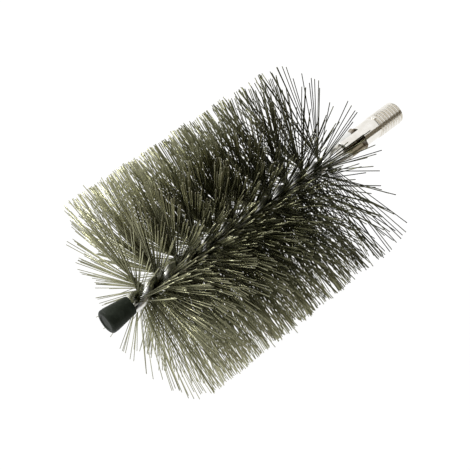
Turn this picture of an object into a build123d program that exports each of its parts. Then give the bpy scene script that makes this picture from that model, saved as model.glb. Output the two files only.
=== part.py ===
from build123d import *
import os
from math import ceil, cos, pi, radians, sin, sqrt, tan

# Spiral boiler brush, lying on its side, in millimetres and degrees.
# X runs along the brush's axis, from the end cap towards the free end of the threaded stud.
# The origin is on the axis, where the thread meets the plain shank. Z is up.

# Threaded stud
thread_diameter = 12.7
thread_pitch = 2.117
thread_length = 18.0
thread_angle = 55
thread_crest = 0.45  # flat left on top of each thread
thread_depth_share = 0.64  # of the pitch
thread_chamfer = 1.2
groove_lead = 0.85  # how far past the free end the middle of the groove starts
shank_diameter = 12.0
shank_length = 11.5
tongue_length = 14.9
tongue_thickness = 4.0
tongue_corner = 1.5  # rounding of the tongue's free end
stud_turn = 8  # how far the wires' plane at the stud is turned up from horizontal

# Twisted stem
wire_diameter = 4.6
bed_gap = 0.8  # room between the two wires, where the bristles are pinched
twist_pitch = 24.3
spread_length = 10.0  # over which the wires leave the tongue and start to twist
spigot_diameter = 7.4  # the stem's end, dressed round inside the cap
spigot_length = 12.5

# Weld bead round each wire's end, on the shank's shoulder
bead_length = 2.6  # along the wire
bead_height = 0.7  # above the wire, at the shoulder
bead_rise = 0.4  # how far it stands past the wire's outside
bead_foot = 0.3  # how far above the tongue its two ends stop

# End cap
cap_length = 15.0
cap_mouth_diameter = 9.6
cap_end_diameter = 12.6
cap_end_wall = 2.0
cap_clearance = 0.1
cap_gap = 2.2  # from the last bristles to the cap's mouth
cap_end_rounding = 1.5
cap_mouth_rounding = 0.4
cap_straight = 1.8  # plain band before the closed end's rounding
cap_dish_diameter = 8.0
cap_dish_depth = 0.35
cap_dish_slope = 45

# Bristles
brush_diameter = 114.0
bristle_start = 36.5  # from the origin to the first bristles
bristled_length = 131.0
slice_count = 10
pairs_per_slice = 24  # each pair leaves the stem on opposite sides
strand_side = 0.6
bed_thickness = 0.68
bed_width = 4.8
bed_overlap = 0.05  # how far the bed's steps run into each other
slice_gap = 0.5  # between one slice of the bed and the next
fan_angle = 11.0  # how far the strands fan out on each side of their row
near_lean = 4.0  # how far the last row leans over the cap
far_lean = 0.0  # how far the first row leans the same way
rest_cut = 0.5  # flat underneath, where the brush rests
fan_shares = (0.3, 1.0, -1.0, -0.35)  # of the fan angle, in turn along a row

overrun = 1.0  # how far a cut runs past what it cuts

os.makedirs("parts", exist_ok=True)

# Places along the axis, from the shoulder between shank and tongue to the closed end of the cap
shoulder_x = -shank_length
tongue_x = shoulder_x - tongue_length
bristle_x = -bristle_start
mouth_x = bristle_x - bristled_length - cap_gap
stem_end_x = mouth_x - spigot_length
cap_end_x = mouth_x - cap_length

# Distances from the axis
thread_radius = thread_diameter / 2
shank_radius = shank_diameter / 2
wire_radius = wire_diameter / 2
twist_radius = wire_radius + bed_gap / 2
tongue_radius = wire_radius + tongue_thickness / 2
brush_radius = brush_diameter / 2


# The stem's shape follows from the run: the distance along the axis from the tongue's end to the cap.
def spread_share(run):
    """How far the wires have spread and begun to twist, from 0 on the tongue to 1 in the even twist."""
    return min(max(run / spread_length, 0), 1)


def twist_turn(run):
    """Angle of the first wire about the axis."""
    eased = max(run, 0) - spread_length * spread_share(run) * (1 - spread_share(run) / 2)
    return radians(stud_turn) + eased * 2 * pi / twist_pitch


def wire_offset(run):
    """Distance of a wire's centre line from the axis, and its slope."""
    share = spread_share(run)
    drop = tongue_radius - twist_radius
    fallen = share * share * (3 - 2 * share)
    steepness = 6 * share * (1 - share) / spread_length
    return tongue_radius - drop * fallen, -drop * steepness


def round_axis(x, radius, angle):
    """Point at a radius and an angle about the brush's axis."""
    return Vector(x, radius * cos(angle), radius * sin(angle))


def wire_station(run, side):
    """Point on a wire's centre line and the direction in which it goes on towards the cap."""
    angle = twist_turn(run) + side * pi
    radius, slope = wire_offset(run)
    turn_rate = spread_share(run) * 2 * pi / twist_pitch
    outward = round_axis(0, 1, angle)
    around = round_axis(0, 1, angle + pi / 2)
    way = Vector(-1, 0, 0) + outward * slope + around * (radius * turn_rate)
    return round_axis(tongue_x - run, radius, angle), way.normalized()


def arc_joint(start, start_way, end, end_way):
    """Point where two arcs meet, one leaving the start and one reaching the end."""
    chord = end - start
    ways = start_way + end_way
    lack = 2 * (1 - start_way.dot(end_way))
    along = chord.dot(ways)
    reach = (sqrt(along * along + lack * chord.dot(chord)) - along) / lack
    return (start + start_way * reach + end - end_way * reach) / 2


def stem_runs():
    """Runs at which a wire's pairs of arcs end, four to a turn, past the end that is cut square."""
    twisted = tongue_x - spread_length - stem_end_x + wire_diameter
    quarters = ceil(twisted / (twist_pitch / 4))
    spread = [spread_length * step / 4 for step in range(5)]
    return spread + [spread_length + twisted * step / quarters for step in range(1, quarters + 1)]


def least_gap(one_side, other_side, apart):
    """Least gap between two stretches of wire whose runs differ by a given distance."""
    steps = range(int(bristled_length / wire_radius))
    pairs = [(step * wire_radius, step * wire_radius + apart) for step in steps]
    points = [(wire_station(run, one_side)[0], wire_station(far, other_side)[0]) for run, far in pairs]
    return min((one - other).length for one, other in points) - wire_diameter


def across_plane(x):
    """Plane square to the axis, with its own X towards the first wire at the stud."""
    return Plane(origin=(x, 0, 0), x_dir=tuple(round_axis(0, 1, radians(stud_turn))), z_dir=(1, 0, 0))


# The stud lies with its tongue between the wires.
thread_depth = thread_pitch * thread_depth_share
groove_mouth = thread_pitch - thread_crest
groove_floor = groove_mouth - 2 * thread_depth * tan(radians(thread_angle / 2))

with BuildPart() as threaded_stud:
    with BuildSketch(across_plane(tongue_x)):
        Circle(shank_radius)
    extrude(amount=-tongue_x)
    with BuildSketch(Plane.YZ):
        Circle(thread_radius)
    extrude(amount=thread_length)
    chamfer(threaded_stud.edges().sort_by(Axis.X)[-1], thread_chamfer)
    # a flat on each side of the tongue, where a wire lies
    with BuildSketch(across_plane(tongue_x - overrun)):
        for side in (-1, 1):
            with Locations((side * (tongue_thickness + shank_diameter) / 2, 0)):
                Rectangle(shank_diameter, shank_diameter + overrun)
    extrude(amount=tongue_length + overrun, mode=Mode.SUBTRACT)
    tongue_end = threaded_stud.faces().sort_by(Axis.X)[0]
    fillet(tongue_end.edges().filter_by(GeomType.CIRCLE), tongue_corner)
    # one groove winds along the whole thread, from past its free end to the plain shank
    with BuildLine():
        groove = Helix(
            thread_pitch,
            thread_length + groove_lead - groove_mouth / 2,
            thread_radius,
            center=(thread_length + groove_lead, 0, 0),
            direction=(-1, 0, 0),
        )
    with BuildSketch(Plane(origin=groove @ 0, x_dir=(-1, 0, 0), z_dir=groove % 0)):
        with BuildLine():
            Polyline(
                (-groove_mouth / 2, 0),
                (-groove_mouth / 2, overrun),
                (groove_mouth / 2, overrun),
                (groove_mouth / 2, 0),
                (groove_floor / 2, -thread_depth),
                (-groove_floor / 2, -thread_depth),
                close=True,
            )
        make_face()
    sweep(is_frenet=True, mode=Mode.SUBTRACT)

threaded_stud.part.label = "threaded_stud"
export_step(threaded_stud.part, "parts/threaded_stud.step")

# Each wire runs straight along the tongue and then winds to the left round the axis.
# Every quarter turn is two arcs that share their direction where they meet.
for side, letter in enumerate("ab"):
    with BuildPart() as stem_wire:
        with BuildLine() as centre_line:
            stations = [wire_station(run, side) for run in stem_runs()]
            flat_start = wire_station(tongue_x - shoulder_x, side)[0]
            Line(flat_start, stations[0][0])
            for (start, start_way), (end, end_way) in zip(stations, stations[1:]):
                joint = arc_joint(start, start_way, end, end_way)
                first = TangentArc(start, joint, tangent=start_way)
                TangentArc(joint, end, tangent=first % 1)
        with BuildSketch(Plane(origin=flat_start, z_dir=(-1, 0, 0))):
            Circle(wire_radius)
        sweep()
        # the dressed end that the cap is pushed on
        split(bisect_by=Plane.YZ.offset(stem_end_x), keep=Keep.TOP)
        with BuildSketch(across_plane(stem_end_x - overrun)):
            Circle(shank_diameter)
            Circle(spigot_diameter / 2, mode=Mode.SUBTRACT)
        extrude(amount=spigot_length + overrun, mode=Mode.SUBTRACT)
    stem_wire.part.label = f"stem_wire_{letter}"
    export_step(stem_wire.part, f"parts/stem_wire_{letter}.step")

print("least gap between the wires", round(least_gap(0, 1, 0), 2))
print("least gap of a wire to its own next turn", round(least_gap(0, 0, twist_pitch), 2))

# A bead of weld fills the corner between each wire's end and the shoulder.
for side, letter in enumerate("ab"):
    angle = radians(stud_turn) + side * pi
    outward = round_axis(0, 1, angle)
    seat = round_axis(shoulder_x, tongue_radius, angle)
    with BuildPart() as weld_bead:
        with BuildSketch(Plane(origin=seat, x_dir=(-1, 0, 0), z_dir=outward.cross(Vector(1, 0, 0)))):
            with BuildLine():
                Polyline((0, wire_radius), (bead_length, wire_radius), (0, wire_radius + bead_height), close=True)
            make_face()
        revolve(axis=Axis(seat, (1, 0, 0)))
        with BuildSketch(across_plane(shoulder_x - bead_length - overrun)):
            Circle(tongue_radius + wire_radius + bead_rise)
            Rectangle(tongue_thickness + 2 * bead_foot, shank_diameter * 2, mode=Mode.SUBTRACT)
        extrude(amount=bead_length + 2 * overrun, mode=Mode.INTERSECT)
    weld_bead.part.label = f"weld_bead_{letter}"
    export_step(weld_bead.part, f"parts/weld_bead_{letter}.step")

# The cap is a short tapered thimble with its wide end closed.
bore_radius = spigot_diameter / 2 + cap_clearance
band_x = cap_end_x + cap_end_rounding + cap_straight

with BuildPart() as tip_cap:
    with BuildSketch():
        with BuildLine():
            Polyline(
                (mouth_x, bore_radius),
                (mouth_x, cap_mouth_diameter / 2),
                (band_x, cap_end_diameter / 2),
                (cap_end_x, cap_end_diameter / 2),
                (cap_end_x, 0),
                (cap_end_x + cap_end_wall, 0),
                (cap_end_x + cap_end_wall, bore_radius),
                close=True,
            )
        make_face()
    revolve(axis=Axis.X)
    closed_rim = tip_cap.edges().filter_by(GeomType.CIRCLE).group_by(Axis.X)[0]
    fillet(closed_rim, cap_end_rounding)
    mouth_rim = tip_cap.edges().filter_by(GeomType.CIRCLE).group_by(Axis.X)[-1].sort_by(SortBy.RADIUS)[-1]
    fillet(mouth_rim, cap_mouth_rounding)
    with BuildSketch(across_plane(cap_end_x)):
        Circle(cap_dish_diameter / 2)
    extrude(amount=cap_dish_depth, taper=cap_dish_slope, mode=Mode.SUBTRACT)

tip_cap.part.label = "tip_cap"
export_step(tip_cap.part, "parts/tip_cap.step")

# Strands leave the stem in pairs, square to the line through the two wires, and turn with the twist.
# The bed that they spring from fills the gap between the wires, in a step for each pair.
slice_length = bristled_length / slice_count
pair_spacing = (slice_length - slice_gap) / pairs_per_slice
root_radius = bed_width / 4


def strand_lean(index, x):
    """Angle by which a strand leans towards the cap."""
    share = (bristle_x - x) / bristled_length
    return far_lean + (near_lean - far_lean) * share + fan_angle * fan_shares[index % len(fan_shares)]


def bed_step(low, high, turned):
    """One step of the bed, from a low to a high place along the axis."""
    face_plane = Plane(origin=(low, 0, 0), x_dir=round_axis(0, 1, turned), z_dir=(1, 0, 0))
    with BuildSketch(face_plane, mode=Mode.PRIVATE) as bed:
        Rectangle(bed_width, bed_thickness)
    return extrude(bed.sketch, amount=high - low, mode=Mode.PRIVATE)


def strand(x, angle, lean):
    """One straight strand, from inside the bed to its tip."""
    way = Vector(-sin(lean), 0, 0) + round_axis(0, cos(lean), angle)
    root = Vector(x, 0, 0) + way * (root_radius / cos(lean))
    root_plane = Plane(origin=root, x_dir=round_axis(0, 1, angle + pi / 2), z_dir=way)
    with BuildSketch(root_plane, mode=Mode.PRIVATE) as section:
        Rectangle(strand_side, strand_side)
    return extrude(section.sketch, amount=(brush_radius - root_radius) / cos(lean), mode=Mode.PRIVATE)


for number in range(slice_count):
    slice_high = bristle_x - number * slice_length - slice_gap / 2
    slice_low = slice_high - slice_length + slice_gap
    with BuildPart() as bristle_turn:
        pieces = []
        for index in range(pairs_per_slice):
            x = slice_high - (index + 1 / 2) * pair_spacing
            turned = twist_turn(tongue_x - x) + pi / 2
            low = max(x - pair_spacing / 2 - bed_overlap, slice_low)
            high = min(x + pair_spacing / 2, slice_high)
            pieces.append(bed_step(low, high, turned))
            for side in range(2):
                lean = radians(strand_lean(index, x))
                pieces.append(strand(x, turned + side * pi, lean))
        add(pieces)
        # the brush rests on these flats
        split(bisect_by=Plane.XY.offset(rest_cut - brush_radius), keep=Keep.TOP)
    bristle_turn.part.label = f"bristle_turn_{number + 1:02d}"
    export_step(bristle_turn.part, f"parts/bristle_turn_{number + 1:02d}.step")
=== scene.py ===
import bmesh
import bpy
import random
from math import cos, pi, radians, sin
from mathutils import Matrix, Vector


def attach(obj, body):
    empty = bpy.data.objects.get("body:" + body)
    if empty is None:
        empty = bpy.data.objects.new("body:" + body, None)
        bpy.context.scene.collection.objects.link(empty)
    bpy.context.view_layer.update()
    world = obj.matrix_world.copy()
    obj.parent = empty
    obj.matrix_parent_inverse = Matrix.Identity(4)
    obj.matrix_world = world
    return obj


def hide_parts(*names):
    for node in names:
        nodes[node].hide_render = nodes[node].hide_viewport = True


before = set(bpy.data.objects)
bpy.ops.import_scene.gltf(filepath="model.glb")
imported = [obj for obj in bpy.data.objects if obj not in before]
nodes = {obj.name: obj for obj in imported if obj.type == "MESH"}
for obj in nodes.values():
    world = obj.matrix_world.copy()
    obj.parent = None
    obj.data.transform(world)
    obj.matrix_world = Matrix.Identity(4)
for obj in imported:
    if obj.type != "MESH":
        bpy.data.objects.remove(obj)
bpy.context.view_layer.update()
mm = 0.001  # the scene is in metres; sizes below are in millimetres, apart from the studio's


def linear(hexColour):
    # sRGB hex to the linear colour a shader wants
    parts = [int(hexColour[i:i + 2], 16) / 255 for i in (1, 3, 5)]
    return [c / 12.92 if c <= 0.04045 else ((c + 0.055) / 1.055) ** 2.4 for c in parts] + [1]


def setStops(ramp, stops):
    # the colours of a ramp, each a (position, hex) pair
    while len(ramp.elements) < len(stops):
        ramp.elements.new(0.5)
    for element, (position, colour) in zip(ramp.elements, stops):
        element.position = position
        element.color = linear(colour)


def addNode(tree, kind, settings=None, links=None):
    # adds one node: settings go to its sockets, properties or ramp, and links name what feeds a socket
    node = tree.nodes.new(kind)
    for name, value in (settings or {}).items():
        if name == "stops":
            setStops(node.color_ramp, value)
        elif isinstance(name, int) or name in node.inputs:
            node.inputs[name].default_value = value
        else:
            setattr(node, name, value)
    for name, source in (links or {}).items():
        # a node given as a source stands for its first output
        socket = source.outputs[0] if isinstance(source, bpy.types.Node) else source
        tree.links.new(socket, node.inputs[name])
    return node


def newMaterial(name):
    # an empty node material, and the place on the object that its patterns read
    made = bpy.data.materials.new(name)
    made.use_nodes = True
    tree = made.node_tree
    tree.nodes.clear()
    return made, tree, addNode(tree, "ShaderNodeTexCoord").outputs["Object"]


def finishMaterial(made, tree, settings, links):
    shader = addNode(tree, "ShaderNodeBsdfPrincipled", settings, links)
    addNode(tree, "ShaderNodeOutputMaterial", links={"Surface": shader})
    return made


def scaleFor(size):
    # the pattern scale that gives spots of this many millimetres
    return 1 / (size * mm)


# Bright zinc plated steel, turned and milled: nearly white, with fine rings from the lathe.
studFinish = {
    "colours": [(0.0, "#E0DACF"), (0.3, "#E6E2D9"), (0.65, "#F7F4EE")],  # painted root shade, dull and bright
    "cloudSize": 5.0, "smoothest": 0.08, "roughest": 0.2, "threadSatin": 0.08,
    "grainSize": 0.35, "grainDepth": 0.02, "grainStrength": 0.15,
    "ringSpacing": 0.5, "ringWander": 0.6, "ringDepth": 0.02, "ringStrength": 0.18,
    "crestRadius": 6.3, "rootRadius": 5.2, "threadStart": 0.2, "rootShadeShare": 0.4}


def platedSteel():
    made, tree, place = newMaterial("zincPlatedTurnedSteel")
    cloud = addNode(tree, "ShaderNodeTexNoise", {
        "Scale": scaleFor(studFinish["cloudSize"]), "Detail": 4}, {"Vector": place})
    grain = addNode(tree, "ShaderNodeTexNoise", {
        "Scale": scaleFor(studFinish["grainSize"]), "Detail": 3}, {"Vector": place})
    # lathe marks are finer than this on the real stud; half a millimetre is the least that shows
    waveScale = scaleFor(studFinish["ringSpacing"]) * pi / 10  # a wave is pi / 10 over its scale long
    rings = addNode(tree, "ShaderNodeTexWave", {
        "bands_direction": "X", "wave_profile": "SAW", "Scale": waveScale,
        "Distortion": studFinish["ringWander"], "Detail": 2, "Detail Scale": 2.0}, {"Vector": place})
    # painted shade: the thread's roots, nearest the axis, are darkened
    across = addNode(tree, "ShaderNodeVectorMath", {"operation": "MULTIPLY", 1: (0, 1, 1)}, {0: place})
    radius = addNode(tree, "ShaderNodeVectorMath", {"operation": "LENGTH"}, {0: across})
    depth = addNode(tree, "ShaderNodeMapRange", {
        "From Min": studFinish["crestRadius"] * mm, "From Max": studFinish["rootRadius"] * mm},
        {"Value": radius.outputs["Value"]})
    along = addNode(tree, "ShaderNodeSeparateXYZ", links={0: place})
    threaded = addNode(tree, "ShaderNodeMath", {
        "operation": "GREATER_THAN", 1: studFinish["threadStart"] * mm}, {0: along.outputs["X"]})
    rootShade = addNode(tree, "ShaderNodeMath", {"operation": "MULTIPLY"}, {0: depth, 1: threaded})
    clean = addNode(tree, "ShaderNodeMath", {
        "operation": "MULTIPLY_ADD", 1: -studFinish["rootShadeShare"]}, {0: rootShade, 2: cloud})
    colour = addNode(tree, "ShaderNodeValToRGB", {"stops": studFinish["colours"]}, {"Fac": clean})
    # the thread was rolled, so its zinc is more satin than the turned shank
    turned = addNode(tree, "ShaderNodeMapRange", {
        "To Min": studFinish["smoothest"], "To Max": studFinish["roughest"]}, {"Value": grain})
    rough = addNode(tree, "ShaderNodeMath", {
        "operation": "MULTIPLY_ADD", 1: studFinish["threadSatin"]}, {0: threaded, 2: turned})
    ringBump = addNode(tree, "ShaderNodeBump", {
        "Strength": studFinish["ringStrength"], "Distance": studFinish["ringDepth"] * mm},
        {"Height": rings.outputs["Fac"]})
    bump = addNode(tree, "ShaderNodeBump", {
        "Strength": studFinish["grainStrength"], "Distance": studFinish["grainDepth"] * mm},
        {"Height": grain, "Normal": ringBump})
    return finishMaterial(made, tree, {"Metallic": 1.0}, {
        "Base Color": colour, "Roughness": rough, "Normal": bump})


# Galvanised wire: pale grey zinc with soft cloudy patches and fine pits, and painted shade that darkens
# the lower wire brown beside its weld.
wireFinish = {
    "colours": [(0.0, "#8A806C"), (0.35, "#D2D2CE"), (0.85, "#F8F8F5")],  # painted shade, grey and pale
    "cloudSize": 6.0, "patchSize": 2.2, "patchShare": 0.45, "smoothest": 0.22, "roughest": 0.42,
    "pitSize": 0.3, "pitDepth": 0.03, "pitStrength": 0.3,
    "paintedShadeFarX": -30.5, "paintedShadeNearX": -20.5, "paintedShadeSide": -1.5, "paintedShadeShare": 0.9}


def galvanisedWire():
    made, tree, place = newMaterial("galvanisedSteelWire")
    patches = addNode(tree, "ShaderNodeTexVoronoi", {
        "feature": "SMOOTH_F1", "Scale": scaleFor(wireFinish["patchSize"]), "Randomness": 1.0},
        {"Vector": place})
    cloud = addNode(tree, "ShaderNodeTexNoise", {
        "Scale": scaleFor(wireFinish["cloudSize"]), "Detail": 5}, {"Vector": place})
    pits = addNode(tree, "ShaderNodeTexNoise", {
        "Scale": scaleFor(wireFinish["pitSize"]), "Detail": 3}, {"Vector": place})
    zinc = addNode(tree, "ShaderNodeMath", {
        "operation": "MULTIPLY_ADD", 1: wireFinish["patchShare"]}, {0: patches.outputs["Color"], 2: cloud})
    # painted shade: the lower wire is darkened brown beside its weld, on its side at negative Y
    along = addNode(tree, "ShaderNodeSeparateXYZ", links={0: place})
    reach = addNode(tree, "ShaderNodeMapRange", {
        "From Min": wireFinish["paintedShadeFarX"] * mm, "From Max": wireFinish["paintedShadeNearX"] * mm},
        {"Value": along.outputs["X"]})
    side = addNode(tree, "ShaderNodeMath", {
        "operation": "LESS_THAN", 1: wireFinish["paintedShadeSide"] * mm}, {0: along.outputs["Y"]})
    paintedShade = addNode(tree, "ShaderNodeMath", {"operation": "MULTIPLY"}, {0: reach, 1: side})
    clean = addNode(tree, "ShaderNodeMath", {
        "operation": "MULTIPLY_ADD", 1: -wireFinish["paintedShadeShare"]}, {0: paintedShade, 2: zinc})
    colour = addNode(tree, "ShaderNodeValToRGB", {"stops": wireFinish["colours"]}, {"Fac": clean})
    rough = addNode(tree, "ShaderNodeMapRange", {
        "To Min": wireFinish["smoothest"], "To Max": wireFinish["roughest"]}, {"Value": patches})
    bump = addNode(tree, "ShaderNodeBump", {
        "Strength": wireFinish["pitStrength"], "Distance": wireFinish["pitDepth"] * mm}, {"Height": pits})
    return finishMaterial(made, tree, {"Metallic": 1.0}, {
        "Base Color": colour, "Roughness": rough, "Normal": bump})


# Weld metal as it was laid: grey ripples with straw and brown heat colours.
weldFinish = {
    "colours": [(0.35, "#6B5A45"), (0.6, "#A39C90")],  # heated and clean
    "heatSize": 2.0, "smoothest": 0.3, "roughest": 0.55,
    "rippleSize": 0.6, "rippleDepth": 0.15, "rippleStrength": 0.7}


def weldMetal():
    made, tree, place = newMaterial("steelWeldMetal")
    heat = addNode(tree, "ShaderNodeTexNoise", {
        "Scale": scaleFor(weldFinish["heatSize"]), "Detail": 4}, {"Vector": place})
    ripples = addNode(tree, "ShaderNodeTexNoise", {
        "Scale": scaleFor(weldFinish["rippleSize"]), "Detail": 2}, {"Vector": place})
    colour = addNode(tree, "ShaderNodeValToRGB", {"stops": weldFinish["colours"]}, {"Fac": heat})
    rough = addNode(tree, "ShaderNodeMapRange", {
        "To Min": weldFinish["smoothest"], "To Max": weldFinish["roughest"]}, {"Value": ripples})
    bump = addNode(tree, "ShaderNodeBump", {
        "Strength": weldFinish["rippleStrength"], "Distance": weldFinish["rippleDepth"] * mm},
        {"Height": ripples})
    return finishMaterial(made, tree, {"Metallic": 1.0}, {
        "Base Color": colour, "Roughness": rough, "Normal": bump})


# Moulded black rubber: deep satin black with a fine mould grain and a little dust.
capFinish = {
    "colours": [(0.45, "#242921"), (0.75, "#363B33")],  # black and dusty
    "smearSize": 4.0, "smearBreakup": 0.7, "smoothest": 0.34, "roughest": 0.52, "gloss": 0.12,
    "grainSize": 0.25, "grainDepth": 0.03, "grainStrength": 0.25}


def mouldedRubber():
    made, tree, place = newMaterial("mouldedBlackRubber")
    grain = addNode(tree, "ShaderNodeTexNoise", {
        "Scale": scaleFor(capFinish["grainSize"]), "Detail": 3}, {"Vector": place})
    smears = addNode(tree, "ShaderNodeTexNoise", {
        "Scale": scaleFor(capFinish["smearSize"]), "Detail": 6, "Roughness": capFinish["smearBreakup"]},
        {"Vector": place})
    colour = addNode(tree, "ShaderNodeValToRGB", {"stops": capFinish["colours"]}, {"Fac": smears})
    rough = addNode(tree, "ShaderNodeMapRange", {
        "To Min": capFinish["smoothest"], "To Max": capFinish["roughest"]}, {"Value": smears})
    bump = addNode(tree, "ShaderNodeBump", {
        "Strength": capFinish["grainStrength"], "Distance": capFinish["grainDepth"] * mm},
        {"Height": grain})
    return finishMaterial(
        made, tree, {"Metallic": 0.0, "IOR": 1.45, "Specular IOR Level": capFinish["gloss"]},
        {"Base Color": colour, "Roughness": rough, "Normal": bump})


# Oil tempered steel wire: dark olive brown under a thin film, with a hard shine along each bristle.
bristleFinish = {
    "colours": [(0.1, "#282921"), (0.55, "#6C6C51"), (1.0, "#BAB99A")],  # darkest where shade is painted, filmed and clean
    "edge": "#DADACE", "filmSize": 3.0, "filmShare": 0.35, "smoothest": 0.12, "roughest": 0.22}


def temperedWire():
    made, tree, place = newMaterial("oilTemperedSteelWire")
    # the attribute holds each bristle's random tone together with painted shade, darker at the roots and
    # towards the stud
    tone = addNode(tree, "ShaderNodeAttribute", {"attribute_name": "tone"})
    film = addNode(tree, "ShaderNodeTexNoise", {
        "Scale": scaleFor(bristleFinish["filmSize"]), "Detail": 3}, {"Vector": place})
    mixed = addNode(tree, "ShaderNodeMath", {
        "operation": "MULTIPLY_ADD", 1: bristleFinish["filmShare"]}, {0: film, 2: tone.outputs["Fac"]})
    colour = addNode(tree, "ShaderNodeValToRGB", {"stops": bristleFinish["colours"]}, {"Fac": mixed})
    rough = addNode(tree, "ShaderNodeMapRange", {
        "To Min": bristleFinish["smoothest"], "To Max": bristleFinish["roughest"]}, {"Value": film})
    return finishMaterial(
        made, tree, {"Metallic": 1.0, "Specular Tint": linear(bristleFinish["edge"])},
        {"Base Color": colour, "Roughness": rough})


# Sheared end of a bristle: bare steel, bright beside the dark film.
cutFinish = {"colours": [(0.4, "#6D6955"), (0.6, "#A8A493")], "smearSize": 0.4, "rough": 0.4}


def shearedSteel():
    made, tree, place = newMaterial("shearedBareSteel")
    smear = addNode(tree, "ShaderNodeTexNoise", {
        "Scale": scaleFor(cutFinish["smearSize"]), "Detail": 2}, {"Vector": place})
    colour = addNode(tree, "ShaderNodeValToRGB", {"stops": cutFinish["colours"]}, {"Fac": smear})
    return finishMaterial(
        made, tree, {"Metallic": 1.0, "Roughness": cutFinish["rough"]}, {"Base Color": colour})


finishes = {
    "stud": platedSteel(), "wire": galvanisedWire(), "weld": weldMetal(),
    "cap": mouldedRubber(), "bristle": temperedWire(), "cutEnd": shearedSteel()}
for nodeName, finishName in (
        ("threaded_stud", "stud"), ("stem_wire_a", "wire"), ("stem_wire_b", "wire"),
        ("weld_bead_a", "weld"), ("weld_bead_b", "weld"), ("tip_cap", "cap")):
    nodes[nodeName].data.materials.clear()
    nodes[nodeName].data.materials.append(finishes[finishName])
print("materials are on the CAD pieces")

# The stem's twist, as the solids have it: wires leave the tongue, spread, then wind evenly.
# studTurn is in degrees, and slitDepth is how far out the two wires hold a bristle.
stem = {"tongueEnd": -26.4, "studTurn": 8, "twistPitch": 24.3, "spreadLength": 10.0, "slitDepth": 2.3}

# Bristles are single wires held at their middle, so each one shows twice, on opposite sides.
# Leans go along the stem towards the cap and turns go round it, both in degrees. A value that
# starts with stud or cap holds at that end of the rows.
bristles = {
    "seed": 11, "wireCount": 2000, "sliceCount": 10, "sides": 5,
    "firstX": -36.5, "bristledLength": 131.0, "spacingPlay": (0.1, 0.9), "slitPlay": 0.18,
    "longest": 57.28, "shortest": 56.3, "floorZ": -56.5, "studThickness": 0.48, "capThickness": 0.4,
    "studLean": 0.0, "capLean": 4.0, "studEdge": 0.0, "capEdge": 3.0, "edgeGrowth": 0.5,
    "tuftLeast": 1, "tuftMost": 9, "combedMost": 3, "tuftLean": 6.5, "tuftTurn": 2.0, "tuftBend": 0.3,
    "looseLean": 1.6, "looseTurn": 1.6, "looseBend": 0.2, "bendShares": (0.3, 0.65, 1),
    "strayShare": 0.04, "strayLean": 5.0, "strayTurn": 7.0,
    "studReach": 58.0, "studThinning": 0.85, "capReach": 14.0, "capThinning": 0.9,
    "studShadeTone": 0.05, "capShadeTone": 0.95, "toneSpread": 0.15, "rootShadeShares": (0.2, 0.25, 0.55, 0.8, 0.9),
    "rollGuide": (1, 0, 0.3)}


def twistTurn(x):
    # angle of the first stem wire about the axis
    run = stem["tongueEnd"] - x
    share = min(run / stem["spreadLength"], 1)
    eased = run - stem["spreadLength"] * share * (1 - share / 2)
    return radians(stem["studTurn"]) + eased * 2 * pi / stem["twistPitch"]


def alongRow(quality, share):
    # a quality's value at this share of the way from the stud's end of the rows to the cap's
    return bristles["stud" + quality] + (bristles["cap" + quality] - bristles["stud" + quality]) * share


def strandShape():
    # one bristle as a thin closed rod, its rings numbered from the root to the tip
    lengths = len(bristles["bendShares"]) + 1
    shape = bmesh.new()
    bmesh.ops.create_cone(
        shape, cap_ends=True, segments=bristles["sides"], radius1=1, radius2=1, depth=lengths)
    bmesh.ops.translate(shape, verts=shape.verts, vec=(0, 0, lengths / 2))
    for height in range(1, lengths):
        everything = shape.verts[:] + shape.edges[:] + shape.faces[:]
        bmesh.ops.bisect_plane(shape, geom=everything, plane_co=(0, 0, height), plane_no=(0, 0, 1))
    for face in shape.faces:
        # the sides are smooth, and the end at the tip shows the cut
        upward = round(face.normal.z)
        face.smooth = upward == 0
        face.material_index = 1 if upward == 1 else 0
    mesh = bpy.data.meshes.new("strandShape")
    shape.to_mesh(mesh)
    shape.free()
    return mesh


def strandCurve(x, wireTurn, side, lean, turn, bend, radius, play):
    # centre points of one bristle, from the middle of the stem to its tip
    straight = wireTurn + pi / 2 + side * pi
    outward = Vector((0, cos(straight), sin(straight)))
    across = Vector((0, -sin(straight), cos(straight)))
    root = Vector((x, 0, 0)) + across * play
    leave = root + outward * stem["slitDepth"]
    way = Vector((-sin(lean), cos(lean) * cos(straight + turn), cos(lean) * sin(straight + turn)))
    length = (radius - stem["slitDepth"]) / (cos(lean) * cos(turn))
    tip = leave + way * length + bend
    if tip.z < bristles["floorZ"]:
        # the tips underneath stand on the floor
        kept = (bristles["floorZ"] - leave.z) / (tip.z - leave.z)
        length *= kept
        bend = bend * kept
    points = [root, leave]
    for share in bristles["bendShares"]:
        points.append(leave + way * (length * share) + bend * share * share)
    return points


def placeStrand(verts, points, thickness, roll):
    # moves a copied shape's rings onto the centre points
    way = (points[-1] - points[1]).normalized()
    sideways = way.cross(Vector(bristles["rollGuide"])).normalized()
    other = way.cross(sideways)
    for vert in verts:
        point = points[round(vert.co.z)]
        flat = Matrix.Rotation(roll, 2) @ vert.co.xy * (thickness / 2)
        vert.co = (point + sideways * flat.x + other * flat.y) * mm


def randomBend(rng, spread):
    return Vector([rng.gauss(0, spread) for _ in range(3)])


def newTuft(rng, most):
    # how a bunch of neighbouring bristles stands together
    return {
        "left": rng.randint(bristles["tuftLeast"], most),
        "lean": rng.uniform(-1, 1) * bristles["tuftLean"], "turn": rng.gauss(0, bristles["tuftTurn"]),
        "bend": randomBend(rng, bristles["tuftBend"])}


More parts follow.
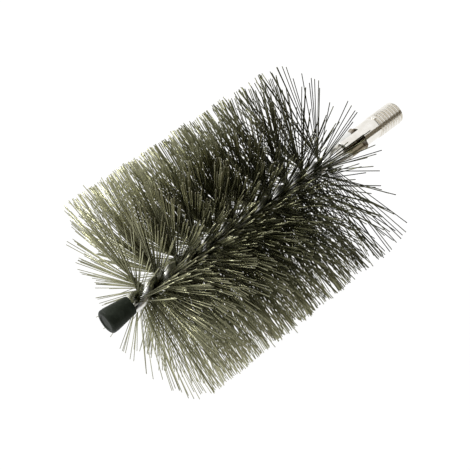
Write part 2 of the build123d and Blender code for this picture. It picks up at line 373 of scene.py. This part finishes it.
def bristleCurves():
    # every bristle's centre points, tone, roll and thickness, sorted into slices along the stem
    rng = random.Random(bristles["seed"])
    slices = [[] for _ in range(bristles["sliceCount"])]
    tufts = [newTuft(rng, bristles["tuftMost"]) for _ in range(2)]
    for number in range(bristles["wireCount"]):
        share = (number + rng.uniform(*bristles["spacingPlay"])) / bristles["wireCount"]
        fromStud = bristles["bristledLength"] * share
        fromCap = bristles["bristledLength"] - fromStud
        x = bristles["firstX"] - fromStud
        play = rng.choice((-1, 0, 1)) * bristles["slitPlay"]
        # the rows are thinner towards both ends
        thinning = max(
            bristles["studThinning"] * (1 - fromStud / bristles["studReach"]),
            bristles["capThinning"] * (1 - fromCap / bristles["capReach"]))
        for side in range(2):
            tuft = tufts[side]
            tuft["left"] -= 1
            if tuft["left"] < 1:
                # the side that was combed last has smaller bunches
                combed = cos(twistTurn(x) + pi / 2 + side * pi) < 0
                tufts[side] = newTuft(rng, bristles["combedMost" if combed else "tuftMost"])
            if rng.random() < thinning:
                continue
            lean = alongRow("Lean", share) + tuft["lean"] + rng.gauss(0, bristles["looseLean"])
            turn = tuft["turn"] + rng.gauss(0, bristles["looseTurn"])
            if rng.random() < bristles["strayShare"]:
                lean += rng.gauss(0, bristles["strayLean"])
                turn += rng.gauss(0, bristles["strayTurn"])
            # bristles at the ends of the rows don't reach far past them
            lean = min(lean, bristles["capEdge"] + fromCap * bristles["edgeGrowth"])
            lean = radians(max(lean, -bristles["studEdge"] - fromStud * bristles["edgeGrowth"]))
            bend = tuft["bend"] + randomBend(rng, bristles["looseBend"])
            radius = rng.uniform(bristles["longest"], bristles["shortest"])
            points = strandCurve(x, twistTurn(x), side, lean, radians(turn), bend, radius, play)
            # painted shade: the rows darken from the cap's end to the stud's end, as the light falls off
            tone = rng.gauss(alongRow("ShadeTone", share), bristles["toneSpread"])
            roll = rng.uniform(0, 2 * pi)
            home = int(share * bristles["sliceCount"])
            slices[home].append((points, tone, roll, alongRow("Thickness", share)))
    return slices


def bristlePiece(name, rods, shape):
    # one slice of bristles: a copy of the rod for each, bent along its centre points
    work = bmesh.new()
    for _ in rods:
        work.from_mesh(shape)
    work.verts.ensure_lookup_table()
    count = len(shape.vertices)
    tonesAndShade = []
    for place, (points, tone, roll, thickness) in enumerate(rods):
        placeStrand(work.verts[place * count:(place + 1) * count], points, thickness, roll)
        # painted shade: each bristle is darker towards the stem, where the brush shades it
        tonesAndShade += [tone * bristles["rootShadeShares"][round(vert.co.z)] for vert in shape.vertices]
    mesh = bpy.data.meshes.new(name)
    work.to_mesh(mesh)
    work.free()
    mesh.attributes.new("tone", "FLOAT", "POINT").data.foreach_set("value", tonesAndShade)
    mesh.materials.append(finishes["bristle"])
    mesh.materials.append(finishes["cutEnd"])
    piece = bpy.data.objects.new(name, mesh)
    bpy.context.scene.collection.objects.link(piece)
    return piece


rod = strandShape()
slices = bristleCurves()
for number, rods in enumerate(slices, 1):
    piece = bristlePiece(f"bristles{number:02d}", rods, rod)
    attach(piece, "root")
    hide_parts(f"bristle_turn_{number:02d}")
bpy.data.meshes.remove(rod)
print("bristles are in:", sum(len(rods) for rods in slices), "ends")

# A white tent over pale paper, one soft lamp, and a low brown card beside the brush. Sizes and
# places here are in metres. openSide is the way to the tent's opening, and openFrom and openTo are
# how near to that way a reflection starts to darken and is darkest.
studio = {
    "white": "#FFFFFF", "worldLight": 0.6,
    "openSide": (-0.45, -0.45, 0.77), "openFrom": 0.5, "openTo": 0.85, "openDark": 0.88,
    "floorSize": (6.0, 6.0), "floorColours": [(0.3, "#F4F4F3"), (0.7, "#F8F8F7")], "fibreSize": 3.0,
    "floorGlow": 0.93, "glowLight": 1.06,
    "cardSize": (0.8, 0.2), "cardPlace": (0.0535, -0.2, 0.095),
    "cardColours": [(0.3, "#6B6355"), (0.7, "#776F60")], "flockSize": 2.0,
    "lampPower": 5.5, "lampSize": 0.35, "lampPlace": (-0.35, 0.8, 0.55), "lampAim": (-0.09, 0, 0)}


def backgroundRays(tree):
    # the light path, and a value that is 1 for the rays that see the white background
    rays = addNode(tree, "ShaderNodeLightPath")
    seen = addNode(tree, "ShaderNodeMath", {"operation": "ADD"}, {
        0: rays.outputs["Is Camera Ray"], 1: rays.outputs["Is Glossy Ray"]})
    shown = addNode(tree, "ShaderNodeMath", {"operation": "ADD", "use_clamp": True}, {
        0: seen, 1: rays.outputs["Is Transmission Ray"]})
    return rays, shown


def studioWorld():
    world = bpy.data.worlds.new("whiteTent")
    bpy.context.scene.world = world
    world.use_nodes = True
    tree = world.node_tree
    tree.nodes.clear()
    rays, shown = backgroundRays(tree)
    strength = addNode(tree, "ShaderNodeMapRange", {
        "To Min": studio["worldLight"], "To Max": 1.0}, {"Value": shown})
    # the tent is open on one side, which the metal reflects as a dark side
    way = addNode(tree, "ShaderNodeTexCoord").outputs["Generated"]
    facing = addNode(tree, "ShaderNodeVectorMath", {
        "operation": "DOT_PRODUCT", 1: studio["openSide"]}, {0: way})
    opening = addNode(tree, "ShaderNodeMapRange", {
        "From Min": studio["openFrom"], "From Max": studio["openTo"], "To Max": studio["openDark"]},
        {"Value": facing.outputs["Value"]})
    lost = addNode(tree, "ShaderNodeMath", {"operation": "MULTIPLY"}, {
        0: opening, 1: rays.outputs["Is Glossy Ray"]})
    kept = addNode(tree, "ShaderNodeMath", {"operation": "SUBTRACT", 0: 1.0}, {1: lost})
    level = addNode(tree, "ShaderNodeMath", {"operation": "MULTIPLY"}, {0: strength, 1: kept})
    back = addNode(tree, "ShaderNodeBackground", {"Color": linear(studio["white"])}, {"Strength": level})
    addNode(tree, "ShaderNodeOutputWorld", links={"Surface": back})


def studioPaper():
    # pale matt paper that glows a little for the camera, so it stays white and still keeps the shadow
    made, tree, place = newMaterial("paleStudioPaper")
    fibre = addNode(tree, "ShaderNodeTexNoise", {
        "Scale": scaleFor(studio["fibreSize"]), "Detail": 3}, {"Vector": place})
    colour = addNode(tree, "ShaderNodeValToRGB", {"stops": studio["floorColours"]}, {"Fac": fibre})
    paper = addNode(tree, "ShaderNodeBsdfDiffuse", links={"Color": colour})
    glow = addNode(tree, "ShaderNodeEmission", {
        "Color": linear(studio["white"]), "Strength": studio["glowLight"]})
    shown = backgroundRays(tree)[1]
    share = addNode(tree, "ShaderNodeMath", {"operation": "MULTIPLY", 1: studio["floorGlow"]}, {0: shown})
    both = addNode(tree, "ShaderNodeMixShader", links={0: share, 1: paper, 2: glow})
    addNode(tree, "ShaderNodeOutputMaterial", links={"Surface": both})
    return made


def flockedCard():
    # soft brown flock, for the dark line that the bright metal reflects
    made, tree, place = newMaterial("brownFlockedCard")
    flock = addNode(tree, "ShaderNodeTexNoise", {
        "Scale": scaleFor(studio["flockSize"]), "Detail": 2}, {"Vector": place})
    colour = addNode(tree, "ShaderNodeValToRGB", {"stops": studio["cardColours"]}, {"Fac": flock})
    card = addNode(tree, "ShaderNodeBsdfDiffuse", links={"Color": colour})
    addNode(tree, "ShaderNodeOutputMaterial", links={"Surface": card})
    return made


def stageSheet(name, material, size, turn, place):
    # a flat sheet of the studio: a unit square that is scaled, turned about X and put in its place
    work = bmesh.new()
    bmesh.ops.create_grid(work, x_segments=1, y_segments=1, size=1 / 2)
    bmesh.ops.scale(work, verts=work.verts, vec=(*size, 1))
    bmesh.ops.rotate(work, verts=work.verts, cent=(0, 0, 0), matrix=Matrix.Rotation(turn, 3, "X"))
    bmesh.ops.translate(work, verts=work.verts, vec=place)
    mesh = bpy.data.meshes.new(name)
    work.to_mesh(mesh)
    work.free()
    mesh.materials.append(material)
    sheet = bpy.data.objects.new(name, mesh)
    bpy.context.scene.collection.objects.link(sheet)
    return sheet


def softLamp():
    data = bpy.data.lights.new("keyLamp", "AREA")
    data.shape = "SQUARE"
    data.size = studio["lampSize"]
    data.energy = studio["lampPower"]
    lamp = bpy.data.objects.new("keyLamp", data)
    bpy.context.scene.collection.objects.link(lamp)
    lamp.location = studio["lampPlace"]
    away = Vector(studio["lampPlace"]) - Vector(studio["lampAim"])
    lamp.rotation_euler = away.to_track_quat("Z", "Y").to_euler()


# The camera looks down along the brush from over the cap. Its place is in millimetres, its angles
# are in degrees, and pixels is its focal length in the photograph's own pixels.
view = {
    "place": (-328.6, -241.7, 410.3), "azimuth": -43.14, "elevation": 51.43,
    "pixels": 1058.8, "imageWidth": 470, "sensorWidth": 36, "nearest": 10}


def photoCamera():
    data = bpy.data.cameras.new("photoCamera")
    data.sensor_width = view["sensorWidth"]
    data.lens = view["pixels"] / view["imageWidth"] * view["sensorWidth"]
    data.clip_start = view["nearest"] * mm
    camera = bpy.data.objects.new("photoCamera", data)
    bpy.context.scene.collection.objects.link(camera)
    camera.location = Vector(view["place"]) * mm
    azimuth, elevation = radians(view["azimuth"]), radians(view["elevation"])
    right = Vector((cos(azimuth), sin(azimuth), 0))
    back = Vector((sin(azimuth) * cos(elevation), -cos(azimuth) * cos(elevation), sin(elevation)))
    up = back.cross(right)
    camera.rotation_euler = Matrix((right, up, back)).transposed().to_euler()
    bpy.context.scene.camera = camera


studioWorld()
stageSheet("floor", studioPaper(), studio["floorSize"], 0, (0, 0, bristles["floorZ"] * mm))
card = stageSheet("darkCard", flockedCard(), studio["cardSize"], -pi / 2, studio["cardPlace"])
for kind in ("visible_camera", "visible_diffuse", "visible_shadow", "visible_transmission"):
    setattr(card, kind, False)  # only the metal's reflections see the card
softLamp()
photoCamera()
bpy.context.scene.view_settings.view_transform = "Standard"
print("floor, light and camera are in")
